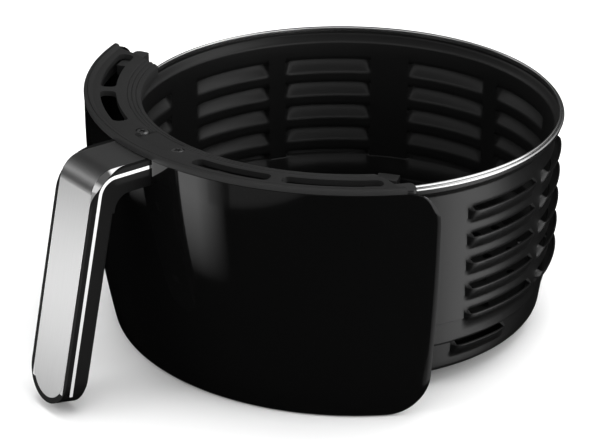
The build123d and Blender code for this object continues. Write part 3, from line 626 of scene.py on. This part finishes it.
def flange_section(az):
    """Closed section of the flange: top from the pan's mouth outwards, skirt, underside."""
    start = inner_edge(az)
    slope = (plateau_in_z - collar_z) / (plateau_in_r - collar_r)
    start_z = collar_z - slope * (collar_r - start)
    top = [(start, inner_edge_z), (start, start_z - 0.0010)]
    top += [(start + 0.0003, start_z - 0.0003), (start + 0.0010, start_z)]
    run = plateau_in_r - start - 0.0010
    groove = 0.00045
    for share in (0.18, 0.40, 0.62):
        r = start + 0.0010 + run * share
        z = start_z + slope * (r - start)
        top += [(r - 0.0005, z - slope * 0.0005), (r, z - groove), (r + 0.0005, z + slope * 0.0005)]
    top += [(plateau_in_r - 0.0004, plateau_in_z - 0.0001), (plateau_in_r + 0.0004, plateau_in_z)]
    top.append((plateau_in_r + 0.0012, plateau_in_z + 0.0001))
    top.append((plateau_out_r - 0.0012, plateau_out_z - 0.0001))
    top += [(plateau_out_r - 0.0003, plateau_out_z), (plateau_out_r + 0.0002, plateau_out_z + 0.0004)]
    top += [(plateau_out_r + 0.0007, flange_high.z - 0.0004), (plateau_out_r + 0.0013, flange_high.z)]
    top += [(plateau_out_r + 0.0020, flange_high.z), (plateau_out_r + 0.0022, flange_high.z - groove)]
    top += [(plateau_out_r + 0.0024, flange_high.z), (cover_r - 0.0009, flange_high.z)]
    top += [(cover_r - 0.0003, flange_high.z - 0.0003), (cover_r, flange_high.z - 0.0009)]
    top.append((cover_r, flange_high.z - flange_t))
    under = [(skirt_r, flange_high.z - flange_t), (skirt_r, skirt_z), (skirt_r - skirt_t, skirt_z)]
    under += [(skirt_r - skirt_t, plateau_out_z - flange_t), (plateau_in_r, plateau_in_z - flange_t)]
    under += [(start + 0.0018, start_z - flange_t), (start + 0.0018, inner_edge_z)]
    return top + under


def flange_blank():
    columns = 200
    points = []
    for j in range(columns + 1):
        share = 2 * j / columns - 1
        az = share * flange_inner_half
        section = flange_section(az)
        for r, z in section:
            reach = (r - inner_r) / (cover_r - inner_r)
            turn = share * (flange_inner_half + (flange_half - flange_inner_half) * reach)
            if (r, z) == section[0] or r < inner_edge(az) + 0.0025:
                r += inner_edge(turn) - inner_edge(az)
            points.append(cover_point(r, turn, z))
    count = len(section)
    faces = []
    for j in range(columns):
        for i in range(count):
            k = (i + 1) % count
            faces.append([j * count + i, j * count + k, (j + 1) * count + k, (j + 1) * count + i])
    faces.append(list(range(count)))
    faces.append([columns * count + i for i in reversed(range(count))])
    return points, faces


def plug(name, outline, z0, z1, lean=0.0):
    """Closed block over an outline of (radius, azimuth) pairs, wider at the top by lean."""
    middle_r = sum(r for r, _ in outline) / len(outline)
    low = [cover_point(r, az, z0) for r, az in outline]
    high = [cover_point(r + lean * (1 if r > middle_r else -1), az, z1) for r, az in outline]
    count = len(outline)
    faces = [list(range(count)), [count + n for n in reversed(range(count))]]
    faces += [[n, count + n, count + (n + 1) % count, (n + 1) % count] for n in range(count)]
    block = new_piece(name, low + high, faces)
    tidy = bmesh.new()
    tidy.from_mesh(block.data)
    bmesh.ops.recalc_face_normals(tidy, faces=tidy.faces)
    tidy.to_mesh(block.data)
    tidy.free()
    return block


def cut_with(piece, blocks):
    """Take the blocks out of the piece and throw them away."""
    for block in blocks:
        modified(piece, "BOOLEAN", operation="DIFFERENCE", object=block, solver="EXACT")
    settle(piece)
    for block in blocks:
        bpy.data.objects.remove(block)


def rounded_slot(r0, r1, az0, az1, corner):
    """Outline of a curved slot, its corners turned by corner."""
    mid_r = (r0 + r1) / 2
    centres = [
        (r1 - corner, az1 - corner / mid_r, 0),
        (r0 + corner, az1 - corner / mid_r, 90),
        (r0 + corner, az0 + corner / mid_r, 180),
        (r1 - corner, az0 + corner / mid_r, 270),
    ]
    outline = []
    for n, (r, az, turn) in enumerate(centres):
        for k in range(9):
            swing = radians(turn + 90 * k / 8)
            outline.append((r + corner * cos(swing), az + corner * sin(swing) / mid_r))
        ahead = centres[(n + 1) % 4]
        if n % 2 == 1:
            span = ahead[1] - az
            for k in range(1, 24):
                edge_r = r0 if n == 1 else r1
                outline.append((edge_r, az + span * k / 24))
    return outline


vent_in = plateau_in_r + 0.0017
vent_out = vent_in + 0.0076
web = radians(1.3)
web_at = radians(34.2)
plastic = Finish("flange_plastic", IOR=1.46)
grain = plastic.place.noise(1800, 2)
plastic.feed("Base Color", plastic.place.noise(40, 2).between(grey(0.012), grey(0.018)))
plastic.feed("Roughness", grain.scaled(0.48, 0.6))
plastic.bump(grain, 0.00004, 0.5)
top_flange = new_piece("top_flange_moulded", *flange_blank())
blocks = []
for side in (-1, 1):
    for first, last in ((radians(14.2), web_at - web), (web_at + web, radians(57.0))):
        outline = rounded_slot(vent_in, vent_out, first, last, 0.0030)
        outline = [(r, side * az) for r, az in outline]
        blocks.append(plug("vent", outline, rim_high.z, flange_high.z + 0.002))
screw_low, screw_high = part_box("flange_screws")
head_r = 0.0030
sink_r = head_r + 0.0002
sink_points = 24
screw_x = screw_high.x - head_r
screw_y = (screw_low.y + screw_high.y) / 2
for side in (-1, 1):
    points = []
    for n in range(sink_points):
        turn = 2 * pi * n / sink_points
        points.append((side * screw_x + sink_r * cos(turn), screw_y + sink_r * sin(turn)))
    outline = [(hypot(x, y - cover_back), atan2(x, cover_back - y)) for x, y in points]
    blocks.append(plug("screw_sink", outline, screw_high.z - 0.0018, flange_high.z + 0.001))
recess_half = radians(6.0)
recess = rounded_slot(
    plateau_in_r - 0.0055, plateau_out_r - 0.0060, -recess_half, recess_half, 0.0015
)
blocks.append(plug("recess", recess, plateau_in_z - 0.0014, flange_high.z + 0.001))
arm_y = plateau_out_r - cover_back + 0.0009
arm_half = 0.0153
arm_end = arm_y + 0.03
box_points = [(-arm_half, -arm_y), (arm_half, -arm_y), (arm_half, -arm_end), (-arm_half, -arm_end)]
outline = [(hypot(x, y - cover_back), atan2(x, cover_back - y)) for x, y in box_points]
blocks.append(plug("arm_room", outline, 0.09, cover_high.z + 0.0001))
cut_with(top_flange, blocks)
built(top_flange, "drawer", "flange_plastic", plastic, "top_flange")

# ---------------------------------------------------------------- side lugs and flange screws
# Black lugs stand out of the flange's ends.
# Two black cross-head screws hold the flange to the bracket.

lug_plastic = Finish("lug_plastic", Base_Color=grey(0.02))
lug_plastic.feed("Roughness", lug_plastic.place.noise(900).scaled(0.4, 0.5))
black_oxide = Finish("black_oxide", Metallic=0.9)
black_oxide.feed("Base Color", black_oxide.place.noise(600).between(grey(0.14), grey(0.24)))
black_oxide.feed("Roughness", black_oxide.place.noise(900).scaled(0.25, 0.4))
for node in ("side_lug_left", "side_lug_right"):
    refinish(node, lug_plastic)
for node in ("flange_screws", "grip_screws"):
    refinish(node, black_oxide)

# ---------------------------------------------------------------- handle shell and grip back
# Black moulded body of the handle: a level arm, a bend and a leaning grip.
# A screwed cover closes the grip from behind.

handle_black = Finish("handle_black", IOR=1.46, Specular_IOR_Level=0.12)
handle_black.feed("Base Color", handle_black.place.noise(60).between(grey(0.004), grey(0.007)))
handle_black.feed("Roughness", handle_black.place.noise(700).scaled(0.40, 0.48))
handle_black.bump(handle_black.place.noise(1400), 0.00002, 0.3)
grip_black = Finish("grip_black", Base_Color=grey(0.006), Specular_IOR_Level=0.12)
grip_black.feed("Roughness", grip_black.place.noise(900).scaled(0.45, 0.6))
grip_black.bump(grip_black.place.noise(1500), 0.00004, 0.5)
refinish("handle_shell", handle_black)
refinish("grip_back", grip_black)

# ---------------------------------------------------------------- handle trim and face
# Polished chrome-plated frame with bevelled edges.
# A brushed aluminium plate is let into it, on a layer of foam tape.

chrome = Finish("polished_chrome", Metallic=1.0, Base_Color=grey(0.86))
chrome.feed("Roughness", chrome.place.noise(60).scaled(0.06, 0.10))
refinish("handle_trim", chrome)
brushed = Finish("brushed_aluminium", Metallic=1.0)
lines = brushed.place.stretched((60, 1.2, 1.2)).noise(55, 4, 0.6)
brushed.feed("Base Color", lines.between(grey(0.62), grey(0.74)))
brushed.feed("Roughness", lines.scaled(0.28, 0.4))
brushed.bump(lines, 0.00002, 0.4)
refinish("handle_face", brushed)
tape = Finish("foam_tape", Base_Color=grey(0.08), Roughness=0.9)
tape.bump(tape.place.noise(1200), 0.00005, 0.5)
refinish("face_tape", tape)

# ---------------------------------------------------------------- studio
# Plain pale floor, soft lights, the camera, and glowing cards that only mirrors see.
# None of this belongs to the object.


def stage_plane(name, corners):
    plane = new_piece(name, corners, [list(range(len(corners)))])
    return plane


def shown_to(piece, camera=True, diffuse=True, glossy=True, shadow=True):
    piece.visible_camera = camera
    piece.visible_diffuse = diffuse
    piece.visible_glossy = glossy
    piece.visible_shadow = shadow


floor = stage_plane("floor", [(-4, -4, 0), (4, -4, 0), (4, 4, 0), (-4, 4, 0)])
floor_paint = Finish("floor_paint", Base_Color=grey(0.9), Roughness=0.9, Specular_IOR_Level=0.0)
floor.data.materials.append(floor_paint.material)
shown_to(floor, glossy=False)

world = bpy.data.worlds.new("studio")
bpy.context.scene.world = world
world.use_nodes = True
sky_tree = world.node_tree
sky = sky_tree.nodes["Background"]
path = Wire(sky_tree).node("ShaderNodeLightPath", out="Is Glossy Ray")
seen = Wire(sky_tree).node("ShaderNodeLightPath", out="Is Camera Ray")
east, north, up = Wire(sky_tree).node("ShaderNodeTexCoord", out="Generated").parts()
band = ((up + 0.05) * 8).clamped() * ((0.62 - up) * 4).clamped(0.14, 1.0)
dim = ((east * -0.7 + north * 0.55 + up * 0.43 - 0.35) / 0.5).clamped()
lamp = ((east * 0.43 + north * 0.55 + up * 0.70 - 0.90) * 14).clamped()
mirrored = band * (1 - dim * 0.93) * 0.75 + lamp * 1.2
strength = seen + (1 - seen) * (path * mirrored + (1 - path) * 0.82)
sky_tree.links.new(strength.socket, sky.inputs["Strength"])
sky.inputs["Color"].default_value = grey(1.0)


def card(name, corners, power, *fades):
    """Glowing card that only mirrors see. A fade is an axis, a dark place and a bright place."""
    plane = stage_plane(name, corners)
    glow = Finish(name, Base_Color=grey(0.0), Specular_IOR_Level=0.0, Emission_Strength=power)
    level = 1.0
    for axis, dark, light in fades:
        level = level * ((glow.place.parts()[axis] - dark) / (light - dark)).clamped()
    glow.feed("Emission Color", level.between(grey(0.0), grey(1.0)))
    plane.data.materials.append(glow.material)
    shown_to(plane, camera=False, diffuse=False, shadow=False)


def wall(x0, y0, x1, y1, z0, z1):
    """Corners of an upright card over a line on the floor plan."""
    return [(x0, y0, z0), (x1, y1, z0), (x1, y1, z1), (x0, y0, z1)]


from_below = (2, -0.17, -0.05)
card("right_card", wall(0.30, -0.045, 0.30, 0.25, -0.20, 0.03), 2.2, (1, -0.06, 0.09))
card("rim_card", wall(0.30, -0.06, 0.30, 0.40, 0.03, 0.24), 1.6, (2, 0.26, 0.20))
card("front_card", wall(-0.16, -0.45, 0.05, -0.45, -0.22, 0.05), 2.1, from_below, (0, 0.035, -0.06))
card("bevel_card", wall(-0.02, -0.45, 0.42, -0.45, -0.05, 0.12), 0.30, (2, -0.06, -0.04))
card("arm_card", wall(0.0161, -0.141, 0.0161, -0.1212, 0.1070, 0.1150), 1.5, (2, 0.1065, 0.1072))
card("grip_card", wall(-0.46, -0.40, -0.20, -0.66, -0.25, 0.30), 2.0, from_below, (2, 0.055, -0.03))


def softbox(name, place, aim, width, height, power):
    """Rectangular soft light that mirrors don't see."""
    lamp = bpy.data.lights.new(name, "AREA")
    lamp.shape = "RECTANGLE"
    lamp.size = width
    lamp.size_y = height
    lamp.energy = power
    holder = bpy.data.objects.new(name, lamp)
    bpy.context.scene.collection.objects.link(holder)
    holder.location = place
    holder.rotation_mode = "QUATERNION"
    holder.rotation_quaternion = (Vector(aim) - Vector(place)).to_track_quat("-Z", "Y")
    holder.visible_glossy = False


softbox("overhead", (0.1, 0.25, 1.3), (0, 0, 0.05), 1.4, 1.4, 18)
softbox("right_side", (1.1, 0.45, 0.45), (0.05, 0, 0.05), 0.5, 1.0, 6)
softbox("front_left", (-0.5, -1.3, 0.9), (0, -0.1, 0.05), 0.8, 0.8, 6)

camera_az = radians(51.85)
camera_el = radians(25.73)
away = Vector((sin(camera_az) * cos(camera_el), -cos(camera_az) * cos(camera_el), sin(camera_el)))
right = Vector((cos(camera_az), sin(camera_az), 0))
upward = away.cross(right)
eye = bpy.data.cameras.new("camera")
eye.sensor_width = 36.0
eye.lens = 116.2
eye.clip_start = 0.01
camera = bpy.data.objects.new("camera", eye)
bpy.context.scene.collection.objects.link(camera)
camera.location = Vector((0, 0, floor_z)) + away * 0.96930 + right * -0.02260 + upward * 0.03060
camera.rotation_mode = "QUATERNION"
camera.rotation_quaternion = (-away).to_track_quat("-Z", "Y")
bpy.context.scene.camera = camera
bpy.context.scene.view_settings.view_transform = "Standard"
